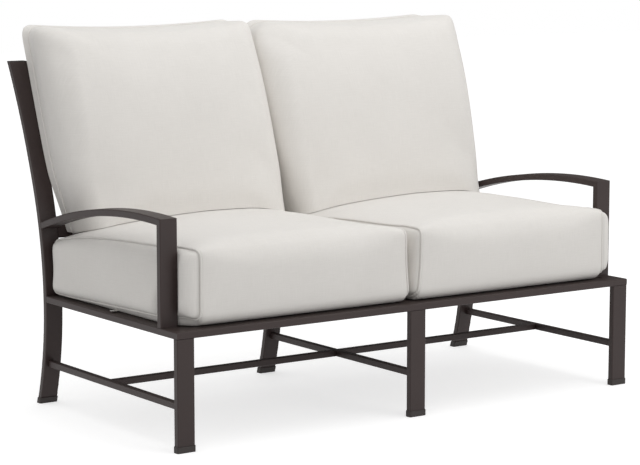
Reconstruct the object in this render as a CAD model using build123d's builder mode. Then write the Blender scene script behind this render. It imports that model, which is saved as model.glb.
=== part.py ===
from build123d import *
import os
from math import asin, cos, degrees, radians, sin, sqrt

# Patio loveseat: a welded frame of flat aluminium tube with six legs, two bowed arms and a
# leaning slatted back, which carries two loose seat cushions and two loose back cushions.
# X runs to the right as seen from the front, Y runs to the back and Z runs up.
# The origin is on the floor, under the middle of the loveseat. Sizes are in millimetres.

os.makedirs("parts", exist_ok=True)

# Overall sizes
overall_width = 1400
post_height = 870

# Flat tube of the legs, rails, arms and posts, and square tube of the stretchers
bar_width = 47
bar_depth = 17
bar_wall = 2
bar_corner = 2.5
rod_size = 16.5
rod_wall = 1.6
rod_corner = 2

# Seat frame, whose depth is measured to the front of the back posts
seat_rail_top = 284.5
seat_frame_depth = 633.7
seat_slat_width = 54
seat_slat_drop = 1.5
seat_slat_lead = 2.5
seat_slats_per_bay = 6
slat_depth = 5
slat_corner = 2

# Sweep of the back legs and posts, whose radii are at the middle of the tube
waist_height = 255
leg_sweep_radius = 808.5
back_sweep_radius = 1008.5
back_sweep_angle = 17.5
head_sweep_radius = 1908.5

# Arms
arm_set_back = 72
arm_crown_set_back = 185
arm_crown_height = 536
arm_radius = 1538.5

# Back frame
lower_back_rail_height = 450
back_slat_width = 40
back_slats_per_bay = 3

# Stretchers
stretcher_height = 107
side_stretcher_inset = 9.5
long_stretcher_set_back = 348

# Glides on the feet and caps on the posts
glide_height = 15
glide_floor = 4
glide_proud = 1.75
cap_depth = 3
cap_plug_depth = 12
cap_plug_gap = 0.3

# Covers and cores of the loose cushions
cushion_gap = 3
cushion_post_gap = 3
cushion_side_round = 18
cover_depth = 1.5
core_gap = 0.3

# Seat cushions
seat_lift = 0.3
seat_front_set_back = 14
seat_heel_set_back = 66
seat_brow_set_back = 62
seat_brow_height = 474
seat_rear_height = 436
seat_rear_gap = 2
seat_round = 24

# Back cushions
back_rest_gap = 0.6
back_seat_gap = 0.6
back_shoulder_rise = 68
back_top_rise = 80
back_top_depth = 165
back_foot_set_back = 572
back_belly_set_back = 580
back_belly_height = 680
back_round = 26

# Overrun for cuts and for bars that are cut back to the bar they meet
overrun = 20

# Sweep of a post, as how far it has run back from its waist and how far it leans there
bend = radians(back_sweep_angle)
bend_run = back_sweep_radius * (1 - cos(bend))
bend_rise = back_sweep_radius * sin(bend)


def post_sweep(height):
    """How far back the middle of a post lies from its waist at a height, and its lean there."""
    rise = height - waist_height
    if rise < 0:
        lean = asin(rise / leg_sweep_radius)
        return leg_sweep_radius * (1 - cos(lean)), lean
    if rise < bend_rise:
        lean = asin(rise / back_sweep_radius)
        return back_sweep_radius * (1 - cos(lean)), lean
    lean = asin(sin(bend) + (rise - bend_rise) / head_sweep_radius)
    return bend_run + head_sweep_radius * (cos(bend) - cos(lean)), lean


# Places worked out from the sizes above
half_width = overall_width / 2
inner_face = half_width - bar_width
leg_middle = half_width - bar_width / 2
bay_width = inner_face - bar_width / 2
top_run, top_lean = post_sweep(post_height)
rear_reach = seat_frame_depth + bar_depth / 2 + top_run + bar_depth / 2 / cos(top_lean)
front_y = (glide_proud - rear_reach) / 2
post_face_y = front_y + seat_frame_depth
post_y = post_face_y + bar_depth / 2
seat_rail_bottom = seat_rail_top - bar_depth
seat_rail_middle = seat_rail_top - bar_depth / 2
SIDES = (("left", -1), ("right", 1))
FRONT_LEGS = (("leg_front_left", -leg_middle), ("leg_front_centre", 0), ("leg_front_right", leg_middle))
BACK_POSTS = (("post_back_left", -leg_middle), ("post_back_centre", 0), ("post_back_right", leg_middle))
ACROSS = Vector(1, 0, 0)
ALONG = Vector(0, 1, 0)

# The three arcs of a post are centred behind it, and each runs on from the last
leg_centre = (post_y + leg_sweep_radius, waist_height)
back_centre = (post_y + back_sweep_radius, waist_height)
head_centre = (
    post_y + bend_run + head_sweep_radius * cos(bend),
    waist_height + bend_rise - head_sweep_radius * sin(bend),
)


def finish(piece, name):
    """Label a finished piece and write it to its own file."""
    piece.part.label = name
    export_step(piece.part, f"parts/{name}.step")


def tube_section(width, depth, corner, wall):
    """The section of a rounded tube, of a bar where the wall is zero, or of a square-cornered bar."""
    if corner:
        RectangleRounded(width, depth, corner)
    else:
        Rectangle(width, depth)
    if wall:
        RectangleRounded(width - 2 * wall, depth - 2 * wall, corner / 2, mode=Mode.SUBTRACT)


def straight_bar(start, end, across, width, depth, corner=0, wall=0):
    """A bar from one point to another, whose width lies along the given direction."""
    run = Vector(*end) - Vector(*start)
    with BuildPart() as bar:
        with BuildSketch(Plane(origin=start, x_dir=across, z_dir=run)):
            tube_section(width, depth, corner, wall)
        extrude(amount=run.length)
    return bar.part


def frame_bar(start, end, across):
    """A straight length of the frame's flat tube."""
    return straight_bar(start, end, across, bar_width, bar_depth, bar_corner, bar_wall)


def rod(start, end, across):
    """A straight length of the stretchers' square tube."""
    return straight_bar(start, end, across, rod_size, rod_size, rod_corner, rod_wall)


def post_bar(x, width, depth, corner=0, wall=0):
    """A bar swept along the middle of a post, from below the floor to above its top."""
    foot_angle = -degrees(post_sweep(-overrun)[1])
    head_angle = degrees(post_sweep(post_height + overrun)[1])
    with BuildPart() as bar:
        with BuildLine(Plane.YZ.offset(x)) as path:
            CenterArc(leg_centre, leg_sweep_radius, 180 + foot_angle, -foot_angle)
            CenterArc(back_centre, back_sweep_radius, 180, -back_sweep_angle)
            CenterArc(
                head_centre, head_sweep_radius, 180 - back_sweep_angle, back_sweep_angle - head_angle
            )
        with BuildSketch(Plane(origin=path.line @ 0, x_dir=ACROSS, z_dir=path.line % 0)):
            tube_section(width, depth, corner, wall)
        sweep(path=path.line)
    return bar.part


# Square-cornered bars in place of the posts cut back every bar that meets a post
post_cuts = {x: post_bar(x, bar_width, bar_depth) for _, x in BACK_POSTS}
post_bars = {x: post_bar(x, bar_width, bar_depth, bar_corner) for _, x in BACK_POSTS}

# Front legs stand under the front rail
front_leg_y = front_y + bar_depth / 2
for name, x in FRONT_LEGS:
    with BuildPart() as leg:
        add(frame_bar((x, front_leg_y, glide_floor), (x, front_leg_y, seat_rail_bottom), ACROSS))
    finish(leg, name)

# Back legs run on upwards as the posts of the back, each in one swept tube
for name, x in BACK_POSTS:
    with BuildPart() as post:
        add(post_bar(x, bar_width, bar_depth, bar_corner, bar_wall))
        split(bisect_by=Plane.XY.offset(glide_floor), keep=Keep.TOP)
        split(bisect_by=Plane.XY.offset(post_height - cap_depth), keep=Keep.BOTTOM)
    finish(post, name)

# Caps close the open tops of the posts, each with a plug inside the tube
plug_width = bar_width - 2 * (bar_wall + cap_plug_gap)
plug_depth = bar_depth - 2 * (bar_wall + cap_plug_gap)
cap_bottom = Plane.XY.offset(post_height - cap_depth)
for name, x in BACK_POSTS:
    with BuildPart() as plug:
        add(post_bar(x, plug_width, plug_depth, bar_corner / 2))
        split(bisect_by=Plane.XY.offset(post_height - cap_depth - cap_plug_depth), keep=Keep.TOP)
        split(bisect_by=cap_bottom, keep=Keep.BOTTOM)
    with BuildPart() as cap:
        add(post_bars[x])
        split(bisect_by=cap_bottom, keep=Keep.TOP)
        split(bisect_by=Plane.XY.offset(post_height), keep=Keep.BOTTOM)
        add(plug.part)
    finish(cap, name.replace("post_back", "post_cap"))

# Glides are moulded boots that stand a little proud round the end of each leg
boot_width = bar_width + 2 * glide_proud
boot_depth = bar_depth + 2 * glide_proud
boot_corner = bar_corner + glide_proud
for name, x in FRONT_LEGS:
    top = (x, front_leg_y, glide_height)
    with BuildPart() as glide:
        add(straight_bar((x, front_leg_y, 0), top, ACROSS, boot_width, boot_depth, boot_corner))
        add(
            straight_bar((x, front_leg_y, glide_floor), top, ACROSS, bar_width, bar_depth, bar_corner),
            mode=Mode.SUBTRACT,
        )
    finish(glide, name.replace("leg", "glide"))
for name, x in BACK_POSTS:
    with BuildPart() as leg_end:
        add(post_bars[x])
        split(bisect_by=Plane.XY.offset(glide_floor), keep=Keep.TOP)
    with BuildPart() as glide:
        add(post_bar(x, boot_width, boot_depth, boot_corner))
        split(bisect_by=Plane.XY, keep=Keep.TOP)
        split(bisect_by=Plane.XY.offset(glide_height), keep=Keep.BOTTOM)
        add(leg_end.part, mode=Mode.SUBTRACT)
    finish(glide, name.replace("post", "glide"))

# Front rail of the seat, mitred at both ends to the side rails
mitres = {side: Plane(origin=(side * half_width, front_y, 0), z_dir=(side, 1, 0)) for _, side in SIDES}
front_rail_y = front_y + bar_width / 2
with BuildPart() as front_rail:
    add(
        frame_bar(
            (-half_width, front_rail_y, seat_rail_middle),
            (half_width, front_rail_y, seat_rail_middle),
            ALONG,
        )
    )
    for _, side in SIDES:
        split(bisect_by=mitres[side], keep=Keep.BOTTOM)
finish(front_rail, "rail_seat_front")

# Side rails run back from the mitre to the face of the back post
for hand, side in SIDES:
    x = side * leg_middle
    with BuildPart() as side_rail:
        add(frame_bar((x, front_y, seat_rail_middle), (x, post_y, seat_rail_middle), ACROSS))
        split(bisect_by=mitres[side], keep=Keep.TOP)
        add(post_cuts[x], mode=Mode.SUBTRACT)
    finish(side_rail, f"rail_seat_{hand}")

# Back rail lies between the side rails, against the face of the centre post
back_rail_y = post_face_y - bar_width / 2
with BuildPart() as back_rail:
    add(
        frame_bar(
            (-inner_face, back_rail_y, seat_rail_middle),
            (inner_face, back_rail_y, seat_rail_middle),
            ALONG,
        )
    )
finish(back_rail, "rail_seat_back")

# Centre rail runs from the front rail to the back rail
bay_front_y = front_y + bar_width
bay_rear_y = post_face_y - bar_width
with BuildPart() as centre_rail:
    add(frame_bar((0, bay_front_y, seat_rail_middle), (0, bay_rear_y, seat_rail_middle), ACROSS))
finish(centre_rail, "rail_seat_centre")

# Seat slats lie across each half of the seat, from the centre rail to the side rail
first_slat_y = bay_front_y + seat_slat_lead + seat_slat_width / 2
last_slat_y = bay_rear_y - seat_slat_lead - seat_slat_width / 2
seat_slat_pitch = (last_slat_y - first_slat_y) / (seat_slats_per_bay - 1)
seat_slat_z = seat_rail_top - seat_slat_drop - slat_depth / 2
for hand, side in SIDES:
    for count in range(1, seat_slats_per_bay + 1):
        y = first_slat_y + (count - 1) * seat_slat_pitch
        centre_end = (side * bar_width / 2, y, seat_slat_z)
        side_end = (side * inner_face, y, seat_slat_z)
        with BuildPart() as seat_slat:
            add(straight_bar(centre_end, side_end, ALONG, seat_slat_width, slat_depth, slat_corner))
        finish(seat_slat, f"seat_slat_{hand}_{count}")

# Arms are bowed tubes, mitred at the front to the arm posts and cut to the back posts
arm_front_y = front_y + arm_set_back
arm_post_y = arm_front_y + bar_depth / 2
arm_centre = (front_y + arm_crown_set_back, arm_crown_height - arm_radius)


def arm_height(y, radius):
    """The height at a place along the seat of an arc of a given radius about the arm's centre."""
    return arm_centre[1] + sqrt(radius**2 - (y - arm_centre[0]) ** 2)


arm_top = arm_height(arm_front_y, arm_radius + bar_depth / 2)
arm_under = arm_height(arm_front_y + bar_depth, arm_radius - bar_depth / 2)
arm_mitre = Plane(origin=(0, arm_front_y, arm_top), z_dir=(0, arm_top - arm_under, bar_depth))
arm_meets_post_y = post_y + post_sweep(arm_height(post_y, arm_radius))[0]
arm_front_turn = degrees(asin((arm_crown_set_back - arm_set_back + overrun) / arm_radius))
arm_rear_turn = degrees(asin((arm_meets_post_y - arm_centre[0]) / arm_radius))
for hand, side in SIDES:
    x = side * leg_middle
    with BuildPart() as arm:
        with BuildLine(Plane.YZ.offset(x)) as arm_path:
            CenterArc(arm_centre, arm_radius, 90 + arm_front_turn, -arm_front_turn - arm_rear_turn)
        with BuildSketch(Plane(origin=arm_path.line @ 0, x_dir=ACROSS, z_dir=arm_path.line % 0)):
            tube_section(bar_width, bar_depth, bar_corner, bar_wall)
        sweep(path=arm_path.line)
        split(bisect_by=arm_mitre, keep=Keep.TOP)
        add(post_cuts[x], mode=Mode.SUBTRACT)
    finish(arm, f"arm_{hand}")
    with BuildPart() as arm_post:
        add(frame_bar((x, arm_post_y, seat_rail_top), (x, arm_post_y, arm_top + overrun), ACROSS))
        split(bisect_by=arm_mitre, keep=Keep.BOTTOM)
    finish(arm_post, f"arm_post_{hand}")

# Cross rails of the back lie between the posts and lean with them
top_rail_height = post_height - bar_width / 2 * cos(top_lean) - bar_depth / 2 * sin(top_lean)
cross_planes = {}
for level, height in (("lower", lower_back_rail_height), ("top", top_rail_height)):
    run, lean = post_sweep(height)
    cross_planes[level] = Plane(origin=(0, post_y + run, height), z_dir=(0, sin(lean), cos(lean)))
for hand, side in SIDES:
    for level, plane in cross_planes.items():
        centre_end = plane.origin + ACROSS * (side * bar_width / 2)
        side_end = plane.origin + ACROSS * (side * inner_face)
        with BuildPart() as cross_rail:
            add(frame_bar(centre_end, side_end, plane.z_dir))
        finish(cross_rail, f"rail_back_{level}_{hand}")

# Back slats bow with the posts, from the lower cross rail to the top one
slat_foot = cross_planes["lower"].offset(bar_width / 2)
slat_head = cross_planes["top"].offset(-bar_width / 2)
back_slat_pitch = bay_width / (back_slats_per_bay + 1)
for hand, side in SIDES:
    for count in range(1, back_slats_per_bay + 1):
        x = side * (bar_width / 2 + count * back_slat_pitch)
        with BuildPart() as back_slat:
            add(post_bar(x, back_slat_width, slat_depth, slat_corner))
            split(bisect_by=slat_foot, keep=Keep.TOP)
            split(bisect_by=slat_head, keep=Keep.BOTTOM)
        finish(back_slat, f"back_slat_{hand}_{count}")

# Side and centre stretchers run from the front legs to the back ones
rod_x = half_width - side_stretcher_inset - rod_size / 2
rod_front_y = front_y + bar_depth
rod_rear_y = post_y + post_sweep(stretcher_height)[0]
for hand, x, post_x in (("left", -rod_x, -leg_middle), ("centre", 0, 0), ("right", rod_x, leg_middle)):
    with BuildPart() as stretcher:
        add(rod((x, rod_front_y, stretcher_height), (x, rod_rear_y, stretcher_height), ACROSS))
        add(post_cuts[post_x], mode=Mode.SUBTRACT)
    finish(stretcher, f"stretcher_{hand}")

# The long stretcher is two lengths, each between a side stretcher and the centre one
long_rod_y = front_y + long_stretcher_set_back
for hand, side in SIDES:
    centre_end = (side * rod_size / 2, long_rod_y, stretcher_height)
    side_end = (side * (rod_x - rod_size / 2), long_rod_y, stretcher_height)
    with BuildPart() as long_stretcher:
        add(rod(centre_end, side_end, ALONG))
    finish(long_stretcher, f"stretcher_long_{hand}")

# Outlines of the cushions, seen from the side
seat_bottom = seat_rail_top + seat_lift
seat_rear_y = post_face_y - seat_rear_gap
back_shoulder_height = post_height + back_shoulder_rise
back_top_height = post_height + back_top_rise


def seat_outline():
    """The side outline of a seat cushion, with a full front that tucks back to its heel."""
    heel = (front_y + seat_heel_set_back, seat_bottom)
    brow = (front_y + seat_brow_set_back, seat_brow_height)
    belly = (front_y + seat_front_set_back, (seat_bottom + seat_brow_height) / 2)
    ThreePointArc(heel, belly, brow)
    Polyline(brow, (seat_rear_y, seat_rear_height), (seat_rear_y, seat_bottom), heel)


def seat_top(y):
    """The height of a seat cushion's top at a place along the seat."""
    brow_y = front_y + seat_brow_set_back
    fall = (seat_brow_height - seat_rear_height) / (seat_rear_y - brow_y)
    return seat_brow_height - fall * (y - brow_y)


def back_outline():
    """The side outline of a back cushion, which leans on the bowed posts and has a full front."""
    clear = bar_depth / 2 + back_rest_gap
    foot_height = seat_top(seat_rear_y) + back_seat_gap
    foot_turn = degrees(asin((foot_height - waist_height) / (back_sweep_radius + clear)))
    head_turn = degrees(asin((back_shoulder_height - head_centre[1]) / (head_sweep_radius + clear)))
    low = CenterArc(
        back_centre, back_sweep_radius + clear, 180 - foot_turn, foot_turn - back_sweep_angle
    )
    high = CenterArc(
        head_centre, head_sweep_radius + clear, 180 - back_sweep_angle, back_sweep_angle - head_turn
    )
    heel = low @ 0
    shoulder = high @ 1
    foot_y = front_y + back_foot_set_back
    foot = (foot_y, seat_top(foot_y) + back_seat_gap)
    brow = (shoulder.X - back_top_depth, back_top_height)
    ThreePointArc(foot, (front_y + back_belly_set_back, back_belly_height), brow)
    Line(brow, shoulder)
    Line(heel, foot)


def cushion_body(outline, side, inset, rounding):
    """A cushion's rounded body, drawn in all round by the inset."""
    start = side * (cushion_gap + inset)
    width = inner_face - cushion_post_gap - cushion_gap - 2 * inset
    with BuildPart() as body:
        with BuildSketch(Plane.YZ.offset(start)) as section:
            with BuildLine():
                outline()
            make_face()
            if inset:
                offset(amount=-inset, kind=Kind.INTERSECTION, mode=Mode.REPLACE)
            fillet(section.vertices(), radius=rounding - inset)
        extrude(amount=side * width)
        fillet(body.faces().filter_by(Axis.X).edges(), radius=cushion_side_round - inset)
    return body.part


# Cushions, each a sewn cover round a loose foam core
for kind, outline, rounding in (("seat", seat_outline, seat_round), ("back", back_outline, back_round)):
    for hand, side in SIDES:
        with BuildPart() as cover:
            add(cushion_body(outline, side, 0, rounding))
            add(cushion_body(outline, side, cover_depth, rounding), mode=Mode.SUBTRACT)
        finish(cover, f"{kind}_cushion_{hand}_cover")
        with BuildPart() as core:
            add(cushion_body(outline, side, cover_depth + core_gap, rounding))
        finish(core, f"{kind}_cushion_{hand}_core")
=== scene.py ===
from math import asin, cos, exp, pi, radians, sin, sqrt

import bmesh
import bpy
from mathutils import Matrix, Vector
from mathutils.bvhtree import BVHTree


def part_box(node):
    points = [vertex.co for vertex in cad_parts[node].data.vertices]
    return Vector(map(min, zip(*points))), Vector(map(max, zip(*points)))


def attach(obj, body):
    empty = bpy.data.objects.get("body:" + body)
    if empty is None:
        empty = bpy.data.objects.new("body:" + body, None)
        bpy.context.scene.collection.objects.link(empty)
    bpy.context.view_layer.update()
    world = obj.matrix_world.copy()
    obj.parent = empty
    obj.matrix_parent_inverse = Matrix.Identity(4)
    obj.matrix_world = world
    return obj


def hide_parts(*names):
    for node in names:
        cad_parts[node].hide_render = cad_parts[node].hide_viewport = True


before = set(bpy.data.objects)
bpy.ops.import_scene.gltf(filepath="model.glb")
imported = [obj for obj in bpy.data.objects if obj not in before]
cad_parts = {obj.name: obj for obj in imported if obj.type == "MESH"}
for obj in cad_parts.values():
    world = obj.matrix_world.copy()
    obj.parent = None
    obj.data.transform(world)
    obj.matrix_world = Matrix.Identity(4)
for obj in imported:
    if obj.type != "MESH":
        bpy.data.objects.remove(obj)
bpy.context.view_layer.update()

# Patio loveseat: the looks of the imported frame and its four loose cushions. Sizes are in metres.
scene = bpy.context.scene
scene.view_settings.view_transform = "Standard"
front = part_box("leg_front_left")[0].y
rail_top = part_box("rail_seat_front")[1].z
inside_half = -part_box("arm_left")[1].x


def mix(low, high, share):
    """The value at a share of the way from low to high."""
    return low + (high - low) * share


def clamp(value, low, high):
    """The value, kept between low and high."""
    return max(low, min(high, value))


def smooth(value):
    """A share from 0 to 1, eased at both ends."""
    share = clamp(value, 0, 1)
    return share * share * (3 - 2 * share)


def beyond(value, start):
    """How far a value is past a start, as a share of the way from there to 1."""
    return clamp((value - start) / (1 - start), 0, 1)


def square_part(first, second):
    """How far out a place on a square from -1 to 1 lies: 0 in the middle and 1 on the edge."""
    return max(abs(first), abs(second))


# Camera, at the place that the straight edges of the frame give
photo_width = 640
focal_pixels = 2197.96
sensor = 36
camera_yaw, camera_pitch = 0.612824, 0.135885
camera_place = Vector((-3.291024, -4.256094 + front, 1.197916))
camera_reach = 100


def turned_to(thing, aim):
    """Turns a camera or a lamp to look along a way."""
    thing.rotation_mode = "QUATERNION"
    thing.rotation_quaternion = aim.to_track_quat("-Z", "Y")


def make_camera():
    """The camera at the photograph's place and angle."""
    data = bpy.data.cameras.new("camera")
    data.sensor_width = sensor
    data.lens = focal_pixels / photo_width * sensor
    data.clip_end = camera_reach
    camera = bpy.data.objects.new("camera", data)
    scene.collection.objects.link(camera)
    level = cos(camera_pitch)
    camera.location = camera_place
    turned_to(camera, Vector((sin(camera_yaw) * level, cos(camera_yaw) * level, -sin(camera_pitch))))
    scene.camera = camera


make_camera()


# Shader maths
class Value:
    """A number or colour worked out over a surface, on which Python's operators make nodes."""

    def __init__(self, tree, socket):
        self.tree = tree
        self.socket = socket

    def math(self, operation, *values):
        """A Math node on the given values."""
        return self.tree.node("ShaderNodeMath", {"operation": operation}, dict(enumerate(values)))

    def __add__(self, other):
        return self.math("ADD", self, other)

    def __sub__(self, other):
        return self.math("SUBTRACT", self, other)

    def __rsub__(self, other):
        return self.math("SUBTRACT", other, self)

    def __mul__(self, other):
        return self.math("MULTIPLY", self, other)

    __radd__ = __add__
    __rmul__ = __mul__

    def sine(self):
        """The sine of this value."""
        return self.math("SINE", self)

    def size(self):
        """This value without its sign."""
        return self.math("ABSOLUTE", self)

    def held(self):
        """This value, kept between 0 and 1."""
        return self.math("MINIMUM", self.math("MAXIMUM", self, 0.0), 1.0)


class Tree:
    """The nodes of a material or of the world, all made by one method."""

    def __init__(self, tree, shader):
        self.nodes = tree.nodes
        self.links = tree.links
        self.shader = tree.nodes[shader]

    def put(self, socket, value):
        """Sets a socket to a plain value, or links it to a worked-out one."""
        if isinstance(value, Value):
            self.links.new(value.socket, socket)
        else:
            socket.default_value = value

    def node(self, kind, settings, inputs, output=0):
        """A node of a kind, with its settings made first, then its sockets' values or links."""
        made = self.nodes.new(kind)
        for name, setting in settings.items():
            setattr(made, name, setting)
        for name, value in inputs.items():
            self.put(made.inputs[name], value)
        return Value(self, made.outputs[output])

    def set(self, **inputs):
        """Sets or links sockets of the main shader, named with underscores for spaces."""
        for name, value in inputs.items():
            self.put(self.shader.inputs[name.replace("_", " ")], value)


# The Mix node's sockets for colours: factor, first, second and result
mix_factor, mix_first, mix_second, mix_result = 0, 6, 7, 2


class Finish(Tree):
    """A material."""

    def __init__(self, name):
        self.material = bpy.data.materials.new(name)
        self.material.use_nodes = True
        super().__init__(self.material.node_tree, "Principled BSDF")

    def place(self, scale=(1, 1, 1), source="Object"):
        """Coordinates on the piece, stretched by a scale."""
        start = self.node("ShaderNodeTexCoord", {}, {}, source)
        return self.node("ShaderNodeMapping", {}, {"Vector": start, "Scale": scale})

    def noise(self, place, scale, detail=2.0, roughness=0.5):
        """Noise from 0 to 1 at a place."""
        inputs = {"Vector": place, "Scale": scale, "Detail": detail, "Roughness": roughness}
        return self.node("ShaderNodeTexNoise", {}, inputs)

    def blend(self, share, first, second):
        """A colour between two colours."""
        inputs = {mix_factor: share, mix_first: first, mix_second: second}
        return self.node("ShaderNodeMix", {"data_type": "RGBA"}, inputs, mix_result)

    def bump(self, height, distance, strength):
        """A normal bent by a height."""
        inputs = {"Height": height, "Distance": distance, "Strength": strength}
        return self.node("ShaderNodeBump", {}, inputs)


dust_colour = (0.30, 0.27, 0.24, 1)
dust_slope, dust_start, dust_most = 1.6, 0.6, 0.09
mottle_roughness, speck_roughness, dust_roughness = 0.14, 0.1, 0.8
speck_share = 0.25
peel_height = 0.00022


def powder_coat(name, light, dark, roughness):
    """Satin powder coat on metal: fine orange peel, faint mottling and a little dust on top faces."""
    finish = Finish(name)
    place = finish.place()
    peel = finish.noise(place, scale=520.0, detail=2.0, roughness=0.55)
    mottle = finish.noise(place, scale=9.0, detail=4.0, roughness=0.6)
    speck = finish.noise(place, scale=1500.0, detail=1.0)
    patches = finish.noise(place, scale=34.0, detail=5.0, roughness=0.65)
    facing = finish.node("ShaderNodeNewGeometry", {}, {}, "Normal")
    up = finish.node("ShaderNodeSeparateXYZ", {}, {"Vector": facing}, "Z")
    dust = (up * dust_slope - dust_start).held() * patches * dust_most
    uneven = (mottle - 0.5) * mottle_roughness + (speck - 0.5) * speck_roughness
    finish.set(
        Base_Color=finish.blend(dust, finish.blend(mottle, dark, light), dust_colour),
        Roughness=roughness + uneven + dust * dust_roughness,
        Normal=finish.bump(peel + speck * speck_share, distance=peel_height, strength=0.55),
        Specular_IOR_Level=0.36,
    )
    return finish.material


grain_height = 0.00015
scuff_stretch = (40, 40, 260)
scuff_slope, scuff_start, scuff_most = 4.0, 2.3, 0.5
scuff_gain, scuff_lift = 1.9, 0.01
plastic_roughness, scuff_roughness = 0.6, 0.2


def moulded_plastic(name, colour):
    """Matt moulded plastic with a fine spark-eroded grain and light scuffs."""
    finish = Finish(name)
    grain = finish.noise(finish.place(), scale=1300.0, detail=3.0, roughness=0.6)
    streaks = finish.noise(finish.place(scuff_stretch), scale=1.0, detail=4.0)
    scuff = (streaks * scuff_slope - scuff_start).held()
    lighter = tuple(channel * scuff_gain + scuff_lift for channel in colour[:3]) + (1,)
    finish.set(
        Base_Color=finish.blend(scuff * scuff_most, colour, lighter),
        Roughness=plastic_roughness + scuff * scuff_roughness,
        Normal=finish.bump(grain, distance=grain_height, strength=0.5),
    )
    return finish.material


thread_pitch = 0.0011
thread_height = 0.00022
slub_along, slub_across, slub_height = 26, 620, 0.9
slub_tone, cloud_tone, weave_tone, soil_tone, darkening = 0.42, 0.3, 0.16, 0.12, 0.18
# Painted shade: the canvas colour darkens towards this grey along the seams, in place of the shadow in
# their gutters
seam_shadow = (0.30, 0.285, 0.27, 1)
seam_shadow_most = 0.42
yarn_roughness, weave_gloss = 0.93, 0.08


def woven_fabric(name, light, dark):
    """Plain-woven canvas of slightly uneven yarn, off-white, with slubs along both threads, and painted
    shade along its seams.
    """
    finish = Finish(name)
    cloth = finish.node("ShaderNodeTexCoord", {}, {}, "UV")
    turn = pi / thread_pitch
    across = (finish.node("ShaderNodeSeparateXYZ", {}, {"Vector": cloth}, "X") * turn).sine()
    along = (finish.node("ShaderNodeSeparateXYZ", {}, {"Vector": cloth}, "Y") * turn).sine()
    over = across * along * 0.5 + 0.5
    weave = across.size() * over + along.size() * (1.0 - over)
    warp_slub = finish.noise(finish.place((slub_across, slub_along, 1), "UV"), scale=1.0)
    weft_slub = finish.noise(finish.place((slub_along, slub_across, 1), "UV"), scale=1.0)
    slubs = warp_slub + weft_slub
    cloud = finish.noise(finish.place(), scale=5.5, detail=3.0, roughness=0.55)
    soil = finish.noise(finish.place(), scale=46.0, detail=4.0, roughness=0.6)
    share = slubs * slub_tone + cloud * cloud_tone + weave * weave_tone + (soil - 0.5) * soil_tone
    # Painted shade along the seams, from the seam_shade mark
    shade = finish.node("ShaderNodeAttribute", {"attribute_name": "seam_shade"}, {}, "Fac")
    yarn = finish.blend((share - darkening).held(), dark, light)
    finish.set(
        Base_Color=finish.blend(shade * seam_shadow_most, yarn, seam_shadow),
        Roughness=yarn_roughness - weave * weave_gloss,
        Normal=finish.bump(weave + slubs * slub_height, distance=thread_height, strength=0.6),
        Sheen_Weight=0.18,
        Sheen_Roughness=0.45,
        Specular_IOR_Level=0.25,
    )
    return finish.material


metal = powder_coat("bronze_powder_coat", (0.042, 0.026, 0.024, 1), (0.028, 0.017, 0.0155, 1), 0.44)
glide_plastic = moulded_plastic("glide_plastic", (0.030, 0.023, 0.021, 1))
cap_plastic = moulded_plastic("cap_plastic", (0.036, 0.027, 0.025, 1))
canvas = woven_fabric("cushion_canvas", (0.86, 0.835, 0.80, 1), (0.70, 0.675, 0.64, 1))
piping_canvas = woven_fabric("piping_canvas", (0.84, 0.815, 0.78, 1), (0.68, 0.655, 0.62, 1))

for name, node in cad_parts.items():
    skin = metal
    if name.startswith("glide"):
        skin = glide_plastic
    elif name.startswith("post_cap"):
        skin = cap_plastic
    node.data.materials.clear()
    node.data.materials.append(skin)
    node.data.shade_flat()


# Outline of the posts' front, on which the back cushions lean
waist_height = 0.255
back_sweep = 1.017
head_sweep = 1.917
bend = radians(17.5)
post_face = front + 0.6337


def rest_line(height):
    """How far back the front of the posts lies at a height."""
    rise = height - waist_height
    if rise < back_sweep * sin(bend):
        return post_face + back_sweep * (1 - cos(asin(max(rise, 0) / back_sweep)))
    lean = asin(min(1, sin(bend) + (rise - back_sweep * sin(bend)) / head_sweep))
    return post_face + back_sweep * (1 - cos(bend)) + head_sweep * (cos(bend) - cos(lean))


def rounded_outline(across, up, low, high, rounds):
    """The point of a rounded rectangle that a point on the edge of the square from -1 to 1 stands for.

    The rounds are the radii of its corners: low left, low right, high right and high left."""
    place = Vector((mix(low[0], high[0], (across + 1) / 2), mix(low[1], high[1], (up + 1) / 2)))
    right, top = across > 0, up > 0
    radius = rounds[(2 if right else 3) if top else (1 if right else 0)]
    core_across = clamp(place.x, low[0] + radius, high[0] - radius)
    core_up = clamp(place.y, low[1] + radius, high[1] - radius)
    out = place - Vector((core_across, core_up))
    if radius and out.x and out.y:
        place = Vector((core_across, core_up)) + out.normalized() * radius
    return place


def cut_box(cells):
    """A closed box from -1 to 1, cut into cells along each axis."""
    shape = bmesh.new()
    bmesh.ops.create_cube(shape, size=2)
    for axis, count in enumerate(cells):
        along = [e for e in shape.edges if abs((e.verts[1].co - e.verts[0].co)[axis]) > 0]
        if count > 1:
            bmesh.ops.subdivide_edges(shape, edges=along, cuts=count - 1, use_grid_fill=True)
    shape.verts.index_update()
    return shape


evening_rounds, evening_share = 6, 0.6
seam_depth = 0.0022
seam_point_weight = 4


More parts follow.
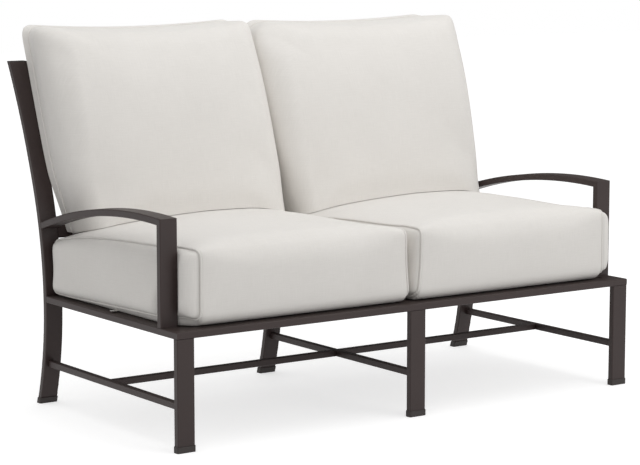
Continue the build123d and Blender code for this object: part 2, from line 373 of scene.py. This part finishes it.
class Pad:
    """A cushion: a cut box, shaped, puffed by simulation and then seated."""

    def __init__(self, body, hand, cells):
        self.body = body
        self.side = -1 if hand == "left" else 1
        self.nodes = (f"{body}_cover", f"{body}_core")
        self.shape = cut_box(cells)
        # Marks where the canvas gets painted shade along its seams
        self.shade = self.shape.verts.layers.float.new("seam_shade")
        self.base = [v.co.copy() for v in self.shape.verts]

    def cut(self, form):
        """Gives every point its place from its place on the box."""
        for v, base in zip(self.shape.verts, self.base):
            v.co = form(base, self.side)
        self.face_out()

    def face_out(self):
        """Turns every face outwards."""
        self.shape.normal_update()
        bmesh.ops.recalc_face_normals(self.shape, faces=self.shape.faces)
        self.shape.normal_update()

    def edge_loop(self, chosen):
        """The closed loop of points that a test on the box picks, in order."""
        wanted = {v.index for v, base in zip(self.shape.verts, self.base) if chosen(base)}
        start = next(v for v in self.shape.verts if v.index in wanted)
        loop, last, here = [start], None, start
        while True:
            nexts = [e.other_vert(here) for e in here.link_edges]
            after = next(v for v in nexts if v.index in wanted and v is not last)
            if after is start:
                return loop
            last, here = here, after
            loop.append(here)

    def puff(self, places, give):
        """Moves the points towards where they swelled to, evenly with their neighbours and not too far."""
        moves = []
        for v, place, base in zip(self.shape.verts, places, self.base):
            move, most = place - v.co, give(base)
            moves.append(move.normalized() * most * (1 - exp(-move.length / most)))
        for _ in range(evening_rounds):
            evened = []
            for v, move in zip(self.shape.verts, moves):
                near = [moves[e.other_vert(v).index] for e in v.link_edges]
                shared = sum(near, Vector()) / len(near) * evening_share
                evened.append(move * (1 - evening_share) + shared if move.length else move)
            moves = evened
        for v, move in zip(self.shape.verts, moves):
            v.co += move

    def seat(self, seated):
        """Seats every point of the swollen pad."""
        for v, base in zip(self.shape.verts, self.base):
            v.co = seated(v.co, base, self.side)
        self.face_out()

    def seam(self, chosen):
        """Draws a seam into the pad, keeps it sharp and marks its points for the painted shade along it,
        and returns its points and their outward ways.
        """
        loop = self.edge_loop(chosen)
        for v in loop:
            v.co -= v.normal * seam_depth
            # Marks this seam point for painted shade
            v[self.shade] = 1.0
        creases = self.shape.edges.layers.float
        layer = creases.get("crease_edge") or creases.new("crease_edge")
        members = set(loop)
        for v in loop:
            for edge in v.link_edges:
                if edge.other_vert(v) in members:
                    edge[layer] = 1.0
        cord = []
        for k, v in enumerate(loop):
            near = loop[k - 1].co + loop[(k + 1) % len(loop)].co
            middle = (near + v.co * seam_point_weight) / (seam_point_weight + 2)
            cord.append((middle, v.normal.copy()))
        return cord

    def finish(self, flat):
        """Makes the object, with its place on the cloth as its UV map."""
        layer = self.shape.loops.layers.uv.new("cloth")
        for face in self.shape.faces:
            middle = sum((self.base[v.index] for v in face.verts), Vector()) / len(face.verts)
            for loop in face.loops:
                loop[layer].uv = flat(middle, loop.vert.co)
            face.smooth = True
        made = new_piece(self.body, self.shape, canvas)
        rounder = made.modifiers.new("round", "SUBSURF")
        rounder.levels = rounder.render_levels = 1
        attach(made, self.body)
        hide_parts(*self.nodes)
        return made


def new_piece(name, shape, skin):
    """An object made of a shape, with one material."""
    shape.normal_update()
    bmesh.ops.recalc_face_normals(shape, faces=shape.faces)
    mesh = bpy.data.meshes.new(name)
    shape.to_mesh(mesh)
    mesh.materials.append(skin)
    made = bpy.data.objects.new(name, mesh)
    scene.collection.objects.link(made)
    return made


piping_radius, piping_proud, piping_sides = 0.0029, 0.0016, 8


def make_piping(name, cords):
    """Closed cords of piping along seams, each given as points and their outward ways."""
    shape = bmesh.new()
    layer = shape.loops.layers.uv.new("cloth")
    turns = [2 * pi * side / piping_sides for side in range(piping_sides)]
    width = 2 * pi * piping_radius / piping_sides
    for cord in cords:
        rings = []
        for k, (point, out) in enumerate(cord):
            run = (cord[(k + 1) % len(cord)][0] - cord[k - 1][0]).normalized()
            aside = run.cross(out).normalized()
            away = aside.cross(run).normalized()
            middle = point + away * piping_proud
            round_it = [(away * cos(turn) + aside * sin(turn)) * piping_radius for turn in turns]
            rings.append([shape.verts.new(middle + off) for off in round_it])
        length = 0
        for k, ring in enumerate(rings):
            after = rings[(k + 1) % len(rings)]
            end = length + (after[0].co - ring[0].co).length
            for s in range(piping_sides):
                n = (s + 1) % piping_sides
                face = shape.faces.new((ring[s], ring[n], after[n], after[s]))
                face.smooth = True
                corners = ((length, s), (length, s + 1), (end, s + 1), (end, s))
                for loop, (along, turn) in zip(face.loops, corners):
                    loop[layer].uv = (along, turn * width)
            length = end
    return new_piece(name, shape, piping_canvas)


swell_frames = 20
swell_pressure = 4.0
cloth_quality = 5
cloth_stretch, cloth_shear, cloth_bend = 40, 8, 1.2


def swell(pads):
    """Fills the pads with air as cloth, all at once, and returns where the points of each end."""
    makers = []
    for pad, held in pads:
        mesh = bpy.data.meshes.new("swelling")
        pad.shape.to_mesh(mesh)
        maker = bpy.data.objects.new("swelling", mesh)
        scene.collection.objects.link(maker)
        group = maker.vertex_groups.new(name="held")
        for index, base in enumerate(pad.base):
            group.add([index], held(base), "REPLACE")
        cloth = maker.modifiers.new("cloth", "CLOTH")
        cloth.settings.vertex_group_mass = "held"
        cloth.settings.quality = cloth_quality
        cloth.settings.tension_stiffness = cloth.settings.compression_stiffness = cloth_stretch
        cloth.settings.shear_stiffness = cloth_shear
        cloth.settings.bending_stiffness = cloth_bend
        cloth.settings.use_pressure = True
        cloth.settings.uniform_pressure_force = swell_pressure
        cloth.settings.effector_weights.gravity = 0
        cloth.collision_settings.use_collision = False
        makers.append(maker)
    for number in range(1, swell_frames + 1):
        scene.frame_set(number)
    graph = bpy.context.evaluated_depsgraph_get()
    places = []
    for maker in makers:
        swollen = maker.evaluated_get(graph).to_mesh()
        places.append([v.co.copy() for v in swollen.vertices])
    for maker in makers:
        mesh = maker.data
        bpy.data.objects.remove(maker)
        bpy.data.meshes.remove(mesh)
    scene.frame_set(1)
    return places


seam_hold = 0.9
welt_hold = 0.85
crowding = 0.75


def crowded(value):
    """A place from -1 to 1, moved outwards so that the cells are smaller near the seams."""
    return mix(value, sin(value * pi / 2), crowding)


# Seat cushions. Depths run back from the front legs, and widths out from the middle of the seat.
seat_cells = (52, 50, 18)
seat_half = 0.305
seat_nose, seat_tail = 0.020, 0.633
seat_bottom = rail_top + 0.0004
seat_inner, seat_foot_inner = 0.0237, 0.014
seat_outer_front, seat_outer_rear, seat_outer_power = {-1: 0.622, 1: 0.628}, 0.668, 0.6
seat_foot_outer, seat_foot_power = 0.677, 2.5
seat_foot_start, seat_foot_length = 0.03, 0.10

# Their corner radii in the middle and at the seams: low front, low rear, high rear and high front
seat_rounds = (0.026, 0.016, 0.022, 0.050)
seam_rounds = (0.026, 0.016, 0.022, 0.017)
seam_reach = 0.65

# The fall of their tops to the rear, where the back cushions stand, and their crowns
seat_brow, seat_back_height = 0.469, 0.423
seat_fall_start, seat_fall_first, seat_fall_power, seat_fall_share = 0.09, 0.12, 3.2, 0.85
seat_crown_front, seat_crown_rear, seat_belly = 0.012, 0.036, 0.004
seat_crown_power, seat_crown_edge = 3.2, 0.2
rear_crown_width, rear_crown_ease, rear_crown_end, rear_crown_power = 1.12, 0.3, 0.2, 4.5

# The lift of their undersides at the lower seams and at the front, where they roll up off the rails
seat_foot_width = 0.010
seat_lift_nose, seat_lift_front, seat_lift_rear, seat_lift_inner = 0.006, 0.022, 0.007, 0.010
seat_lift_start, seat_lift_length, seat_nose_length = 0.05, 0.5, 0.04
seat_lip, seat_lip_end, seat_lip_run = 0.005, 0.055, 0.03

# The bulge of their side panels, and how far their rears lean back with the posts
gusset_front, gusset_rear, gusset_inner = {-1: 0.036, 1: 0.042}, 0.022, 0.015
gusset_edge, gusset_run = 0.010, 0.25
seat_lean_start, seat_lean_length = 0.4, 0.2
post_clearance = 0.001


def rounded_off(distance):
    """The share of its full bulge that a side panel has at a distance from its seam."""
    return 1 - exp(-max(distance, 0) / gusset_edge)


def seat_crown(share, run):
    """The share of its crown that a seat cushion has at a share of its width and of its depth."""
    low_side = clamp((share + 1) / rear_crown_width, 0, 1)
    rear = mix(low_side, smooth(low_side), rear_crown_ease)
    rear *= 1 - beyond(share, rear_crown_end) ** rear_crown_power
    return mix(1 - abs(share) ** seat_crown_power, rear, run)


def seat_edge_lift(depth):
    """How far the lower outer seam of a seat cushion lies above its underside at a depth."""
    rear = clamp((depth - seat_lift_start) / seat_lift_length, 0, 1)
    lift = mix(seat_lift_front, seat_lift_rear, rear)
    return mix(seat_lift_nose, lift, smooth((depth - seat_nose) / seat_nose_length))


def seat_form(base, side):
    """A seat cushion's point: a waterfall profile, crowned between its two side panels.

    The place is worked out in that profile, so its x is the depth and its y the height."""
    ring = square_part(base.y, base.z)
    edge = base.yz / ring if ring else Vector((1.0, 0.0))
    on_panel = abs(base.x) == 1
    low, high = (seat_nose, seat_bottom), (seat_tail, seat_brow)
    near_seam = smooth(beyond(abs(base.x), 1 - seam_reach))
    rounds = [mix(wide, tight, near_seam) for wide, tight in zip(seat_rounds, seam_rounds)]
    place = rounded_outline(edge.x, edge.y, low, high, rounds)
    middle = (Vector(low) + Vector(high)) / 2
    place = middle + (place - middle) * (crowded(ring) if on_panel else ring)
    run = clamp((place.x - seat_fall_start) / (seat_tail - seat_fall_start), 0, 1)
    lift = (place.y - seat_bottom) / (seat_brow - seat_bottom)
    spread = crowded(base.x)
    near_edge = 1 - clamp((1 - abs(spread)) * seat_half / seat_foot_width, 0, 1)
    if base.x > 0:
        edge_lift = seat_edge_lift(place.x)
    else:
        near_edge = 1 - sqrt(1 - near_edge**2)
        edge_lift = seat_lift_inner
    bulge = 1
    for distance in (place.x - low[0], high[0] - place.x, place.y - low[1], high[1] - place.y):
        bulge *= rounded_off(distance)
    fall = mix(1 - exp(-run / seat_fall_first), run**seat_fall_power, seat_fall_share)
    place.y -= lift * (seat_brow - seat_back_height) * fall
    place.y += near_edge * (1 - lift) * edge_lift
    place.y += (1 - lift) * seat_lip * clamp((seat_lip_end - place.x) / seat_lip_run, 0, 1)
    leaning = smooth((place.x - seat_lean_start) / seat_lean_length)
    place.x += max(0, rest_line(place.y) - post_face - post_clearance) * leaning
    if not on_panel:
        crown = seat_crown(base.x * side, run)
        place.y += crown * mix(seat_crown_front, seat_crown_rear, run) * beyond(edge.y, seat_crown_edge)
        place.x -= crown * seat_belly * beyond(-edge.x, seat_crown_edge)
    stretch = clamp((place.x - seat_nose) / (seat_tail - seat_nose), 0, 1)
    outer = mix(seat_outer_front[side], seat_outer_rear, stretch**seat_outer_power)
    foot = clamp(1 - lift, 0, 1) ** seat_foot_power
    flare = smooth((place.x - seat_foot_start) / seat_foot_length)
    outer = mix(outer, max(outer, mix(outer, seat_foot_outer, flare)), foot)
    across = mix(mix(seat_inner, seat_foot_inner, foot), outer, (spread + 1) / 2)
    if on_panel and ring < 1:
        outward = mix(gusset_front[side], gusset_rear, smooth(stretch / gusset_run))
        across += bulge * (outward if base.x > 0 else -gusset_inner)
    return Vector((side * across, front + place.x, place.y))


def seat_held(base):
    """How firmly a point of a seat cushion stays while the pads swell: its seams, and its underside."""
    if base.z == -1:
        return 1.0
    return seam_hold if abs(base.x) == 1 and square_part(base.y, base.z) == 1 else 0.0


seat_give_panel, seat_give_front, seat_give_seam, seat_give_middle = 0.005, 0.004, 0.003, 0.009
seat_give_power = 2.4


def seat_give(base):
    """How far a point of a seat cushion may move as it swells."""
    if abs(base.x) == 1:
        return seat_give_panel
    if base.z == 1:
        return mix(seat_give_seam, seat_give_middle, 1 - abs(base.x) ** seat_give_power)
    return seat_give_front


# Where the seat cushions squeeze in between the arm posts, and bulge out before and behind them
seat_limit = inside_half - 0.0012
seat_limit_front, seat_limit_rear = 0.684, 0.692
squeeze_start, squeeze_run = 0.045, 0.022
release_start, release_run = 0.093, 0.05
posts_middle = 0.08
twin_clearance = 0.0008
seat_rear_limit = 0.6327


def seat_seated(place, base, side):
    """A swollen seat cushion's point, kept off the rails, the arm posts, the back frame and its twin."""
    across, depth = place.x * side, place.y - front
    if depth < posts_middle:
        limit = mix(seat_limit_front, seat_limit, smooth((depth - squeeze_start) / squeeze_run))
    else:
        limit = mix(seat_limit, seat_limit_rear, smooth((depth - release_start) / release_run))
    place.x = side * clamp(across, twin_clearance, limit)
    place.z = max(place.z, seat_bottom)
    lean = max(0, rest_line(place.z) - post_face - post_clearance)
    place.y = min(place.y, front + seat_rear_limit + lean)
    return place


def on_face(part):
    """Whether the middle of a face lies on an end of an axis of the box."""
    return abs(part) > 0.999


def seat_flat(middle, point):
    """Where a point of a seat cushion lies on its cloth."""
    if on_face(middle.x):
        return point.y, point.z
    if on_face(middle.z):
        return point.x, point.y
    return point.x, point.y + (point.z if middle.y < 0 else -point.z)


# Back cushions: their thickness, and the front edge that wraps round
back_cells = (48, 22, 44)
back_half = 0.3285
back_bottom, back_top = 0.440, 0.9445
back_thick_low, back_thick_high, back_thick_rate = 0.128, 0.170, 1.1
back_round, back_round_low = 0.036, 0.010
back_wrap, back_wrap_power = 0.055, 2.4
back_bulge_low, back_bulge_high, back_bulge_power = 0.009, 0.034, 1.6

# Their welt, a few rows of cells in front of their backs
welt_row = 4
back_welt, back_welt_turn, back_welt_step, back_heel = 0.024, 1.2, 0.7, -0.006

# Their corner radii seen from the front: the low ones, and each cushion's high outer and high inner one
back_corner_low = 0.005
back_corners = {-1: (0.034, 0.026), 1: (0.022, 0.082)}
back_peak, back_peak_power, back_peak_start = 0.006, 4, 0.6
back_dip, back_dip_start = 0.013, 0.5
back_crown, back_crown_power = 0.004, 2.2

# Their sides: drawn in at the foot, parted from each other towards the top, and waisted
back_foot_outer, back_foot_inner = {-1: 0.013, 1: 0.004}, 0.004
back_foot_end, back_foot_run = 0.30, 0.22
back_gap, back_inner_reach = 0.0012, 0.35
back_inset_low, back_inset_high, back_apart, back_inset_fade = 0.004, 0.042, 0.008, 4
back_barrel, back_barrel_most, back_waist = 0.022, 1.2, 0.655
back_barrel_low, back_barrel_high = 0.20, 0.345


def back_layers(base):
    """How far forward a back cushion's layer lies, and its insets at the sides, the top and the foot."""
    row = (1 - base.y) / 2 * back_cells[1]
    height = (base.z + 1) / 2
    thick = mix(back_thick_low, back_thick_high, smooth(height * back_thick_rate))
    if row < welt_row:
        turn = row * back_welt_turn / welt_row * pi / 2
        inset = back_heel * (1 - sin(turn))
        return back_welt * (1 - cos(turn)), inset, inset, inset, thick
    turn = max(0, row - welt_row - back_welt_step) / (back_cells[1] - welt_row - back_welt_step) * pi / 2
    reach = sin(turn)
    forward = mix(back_welt, thick, reach)
    inset = back_wrap * (1 - max(0, 1 - reach**back_wrap_power) ** (1 / back_wrap_power))
    inset -= mix(back_bulge_low, back_bulge_high, height**2) * sin(reach**back_bulge_power * pi)
    rolled = []
    for radius in (back_round, back_round_low):
        over = clamp((forward - thick + radius) / radius, 0, 1)
        rolled.append(radius * (1 - sqrt(1 - over**2)))
    return forward, inset, *rolled, thick


def back_form(base, side):
    """A back cushion's point: a soft pillow with a welt near its back, which leans on the posts.

    The place is worked out as seen from the front, so its x is the width and its y the height."""
    ring = square_part(base.x, base.z)
    edge = base.xz / ring if ring else Vector((1.0, 0.0))
    row = (1 - base.y) / 2 * back_cells[1]
    forward, inset_side, inset_top, inset_low, thick = back_layers(base)
    low = (-back_half + inset_side, back_bottom + inset_low)
    high = (back_half - inset_side, back_top - inset_top)
    rounds = (back_corner_low, back_corner_low, *back_corners[side])
    place = rounded_outline(edge.x, edge.y, low, high, rounds)
    middle = Vector((0, mix(back_bottom, back_top, 0.5)))
    place = middle + (place - middle) * ring
    rise = clamp((place.y - back_bottom) / (back_top - back_bottom), 0, 1)
    if base.y == -1:
        forward += back_crown * (1 - ring**back_crown_power)
    place.y += back_dip * (place.x / back_half) ** 2 * smooth(beyond(rise, back_dip_start))
    right_share = max(0, side * place.x / back_half)
    peak = right_share**back_peak_power * smooth(beyond(rise, back_peak_start))
    place.y += back_peak * peak * forward / thick
    narrow = back_foot_outer[side] if place.x > 0 else back_foot_inner
    narrow *= smooth((back_foot_end - rise) / back_foot_run)
    across = back_gap + back_half + place.x * (1 - narrow / back_half)
    inner = smooth(1 - across / back_inner_reach) * smooth(row / welt_row)
    inset = mix(back_inset_low, back_inset_high, rise)
    if side < 0:
        across += inset * inner
    else:
        across -= max(0, inset - back_apart) * inner * (1 - rise**back_inset_fade)
    off_waist = (place.y - back_waist) / (back_barrel_high if place.y > back_waist else back_barrel_low)
    left_share = max(0, -side * place.x / back_half)
    across += side * back_barrel * min(back_barrel_most, off_waist**2) * left_share**2
    return Vector((side * across, rest_line(place.y) - post_clearance - forward, place.y))


def back_row(base):
    """The row of cells, from the back, that a point of a back cushion is on."""
    return round((1 - base.y) / 2 * back_cells[1])


def back_held(base):
    """How firmly a point of a back cushion stays while the pads swell: its back and its welt."""
    row = back_row(base)
    return 1.0 if row == 0 else welt_hold if row == welt_row else 0.0


back_give_edge, back_give_middle, back_give_power = 0.005, 0.018, 3


def back_give(base):
    """How far a point of a back cushion may move as it swells."""
    if base.y > -1:
        return back_give_edge
    share = 1 - square_part(base.x, base.z) ** back_give_power
    return mix(back_give_edge, back_give_middle, share)


# How the back cushions stand on the seat cushions, found by probes from above
back_press = 0.022
press_top, press_run = 0.58, 0.12
probe_inner, probe_outer, probe_rear, probe_height = 0.014, 0.655, 0.612, 0.7
seat_clearance, rest_clearance = 0.0012, 0.0008


def back_seated(place, base, side):
    """A swollen back cushion's point, kept off the posts and its twin, and resting on the seat."""
    across = max(place.x * side, twin_clearance if side < 0 else back_apart - back_inset_high)
    place.x = side * across
    low = smooth((press_top - place.z) / press_run)
    if low > 0:
        depth = min(place.y, front + probe_rear)
        probe = Vector((side * clamp(across, probe_inner, probe_outer), depth, probe_height))
        hit = seat_surface.ray_cast(probe, Vector((0, 0, -1)))[0]
        ground = (hit.z if hit else seat_back_height) + seat_clearance
        place.z = max(place.z + (ground - back_bottom - back_press) * low, ground)
    place.y = min(place.y, rest_line(place.z) - rest_clearance)
    return place


def back_flat(middle, point):
    """Where a point of a back cushion lies on its cloth."""
    if on_face(middle.y):
        return point.x, point.z
    if on_face(middle.x):
        return point.y, point.z
    return point.x, point.y


# The four cushions
pads = {}
for kind, cells in (("seat", seat_cells), ("back", back_cells)):
    for hand in ("left", "right"):
        pad = Pad(f"{kind}_cushion_{hand}", hand, cells)
        pad.cut(seat_form if kind == "seat" else back_form)
        pads[kind, hand] = pad

swollen = swell([(pad, seat_held if kind == "seat" else back_held) for (kind, _), pad in pads.items()])
for ((kind, _), pad), places in zip(pads.items(), swollen):
    pad.puff(places, seat_give if kind == "seat" else back_give)

seat_shapes = bmesh.new()
for hand in ("left", "right"):
    pads["seat", hand].seat(seat_seated)
    mesh = bpy.data.meshes.new("seat_copy")
    pads["seat", hand].shape.to_mesh(mesh)
    seat_shapes.from_mesh(mesh)
    bpy.data.meshes.remove(mesh)
seat_surface = BVHTree.FromBMesh(seat_shapes)
for hand in ("left", "right"):
    pads["back", hand].seat(back_seated)


def gusset_seam(panel):
    """A test for the seam round one side panel of a seat cushion."""
    return lambda base: base.x == panel and square_part(base.y, base.z) == 1


def welt_seam(base):
    """A test for the welt round a back cushion."""
    return square_part(base.x, base.z) == 1 and back_row(base) == welt_row


for (kind, _), pad in pads.items():
    seams = [gusset_seam(-1), gusset_seam(1)] if kind == "seat" else [welt_seam]
    cords = [pad.seam(chosen) for chosen in seams]
    made = pad.finish(seat_flat if kind == "seat" else back_flat)
    piping = make_piping(f"{made.name}_piping", cords)
    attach(piping, pad.body)


# The tie of the left seat cushion
tie_start, tie_end = Vector((-0.652, front + 0.345, 0)), Vector((-0.688, front + 0.318, 0))
tie_width, tie_thick, tie_tilt, tie_steps = 0.0105, 0.0018, 0.0006, 10
tie_sway, tie_sway_turn = 0.0012, 5
tie_uneven_share, tie_uneven_turn = 0.06, 9
tie_clearance, tie_wave, tie_wave_turn = 0.0004, 0.0012, pi * 1.5
tie_curl, tie_curl_power = 0.0035, 3


def make_tie():
    """The end of the left seat cushion's tie, which lies out across the side rail."""
    shape = cut_box((tie_steps, 1, 1))
    ends = [face for face in shape.faces if on_face(face.calc_center_median().x)]
    run = (tie_end - tie_start).normalized()
    aside = Vector((-run.y, run.x, 0))
    for v in shape.verts:
        share = (v.co.x + 1) / 2
        half = tie_width / 2 * (1 + tie_uneven_share * sin(share * tie_uneven_turn))
        sway = tie_sway * sin(share * tie_sway_turn)
        up = rail_top + tie_clearance + tie_wave * sin(share * tie_wave_turn) ** 2
        up += tie_curl * share**tie_curl_power
        up += tie_thick * (v.co.z > 0) + tie_tilt * (v.co.y > 0)
        v.co = tie_start.lerp(tie_end, share) + aside * (sway + half * v.co.y) + Vector((0, 0, up))
    layer = shape.loops.layers.uv.new("cloth")
    for face in shape.faces:
        for loop in face.loops:
            place = loop.vert.co
            loop[layer].uv = (place.x, place.z if face in ends else place.y + place.z)
    tie = new_piece("seat_cushion_left_tie", shape, piping_canvas)
    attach(tie, "seat_cushion_left")


make_tie()


# Stage and light
white = (1, 1, 1, 1)
floor_reach = 15
floor_grey, floor_roughness, floor_glow = 0.62, 0.9, 0.62
world_strength = 0.72
dim_start, dim_end, dim_most = 0.2, 0.9, 0.85


def background_rays(tree, *kinds):
    """Which rays see a background as it is drawn, as 0 or 1."""
    rays = [tree.node("ShaderNodeLightPath", {}, {}, f"Is {kind} Ray") for kind in kinds]
    return sum(rays[1:], rays[0]).held()


def make_floor():
    """A pale floor that looks white and keeps a soft shadow."""
    shape = bmesh.new()
    bmesh.ops.create_grid(shape, x_segments=1, y_segments=1, size=floor_reach)
    mesh = bpy.data.meshes.new("floor")
    shape.to_mesh(mesh)
    floor = bpy.data.objects.new("floor", mesh)
    scene.collection.objects.link(floor)
    pale = Finish("pale_floor")
    pale.set(
        Base_Color=(floor_grey, floor_grey, floor_grey, 1),
        Roughness=floor_roughness,
        Emission_Color=background_rays(pale, "Camera", "Glossy", "Transmission"),
        Emission_Strength=floor_glow,
    )
    mesh.materials.append(pale.material)


def make_world():
    """A white world that lights the object plainly, dimmer where metal mirrors what is behind it."""
    world = bpy.data.worlds.new("world")
    scene.world = world
    world.use_nodes = True
    sky = Tree(world.node_tree, "Background")
    way = sky.node("ShaderNodeTexCoord", {}, {}, "Generated")
    ahead = (sin(camera_yaw), cos(camera_yaw), 0)
    facing = sky.node("ShaderNodeVectorMath", {"operation": "DOT_PRODUCT"}, {0: way, 1: ahead}, "Value")
    limits = {"From Min": dim_start, "From Max": dim_end, "To Min": 0, "To Max": dim_most}
    dim = sky.node("ShaderNodeMapRange", {}, {"Value": facing, **limits})
    dim = dim * sky.node("ShaderNodeLightPath", {}, {}, "Is Glossy Ray")
    sky.set(Color=white, Strength=(1.0 - dim) * world_strength)
    room = Value(sky, sky.shader.outputs[0])
    seen = sky.node("ShaderNodeBackground", {}, {"Color": white, "Strength": 1})
    rays = background_rays(sky, "Camera", "Transmission")
    pick = sky.node("ShaderNodeMixShader", {}, {0: rays, 1: room, 2: seen})
    sky.put(sky.nodes["World Output"].inputs["Surface"], pick)


light_aim = Vector((0, 0, 0.4))
light_power = 24


def area_light(name, place, size):
    """A square soft light, turned towards the seat."""
    data = bpy.data.lights.new(name, "AREA")
    data.size = size
    data.energy = light_power
    lamp = bpy.data.objects.new(name, data)
    scene.collection.objects.link(lamp)
    lamp.location = place
    turned_to(lamp, light_aim - place)


make_floor()
make_world()
area_light("top_light", Vector((0.3, -0.4, 3.0)), size=3.0)
area_light("front_light", Vector((1.6, -3.6, 1.8)), size=2.4)
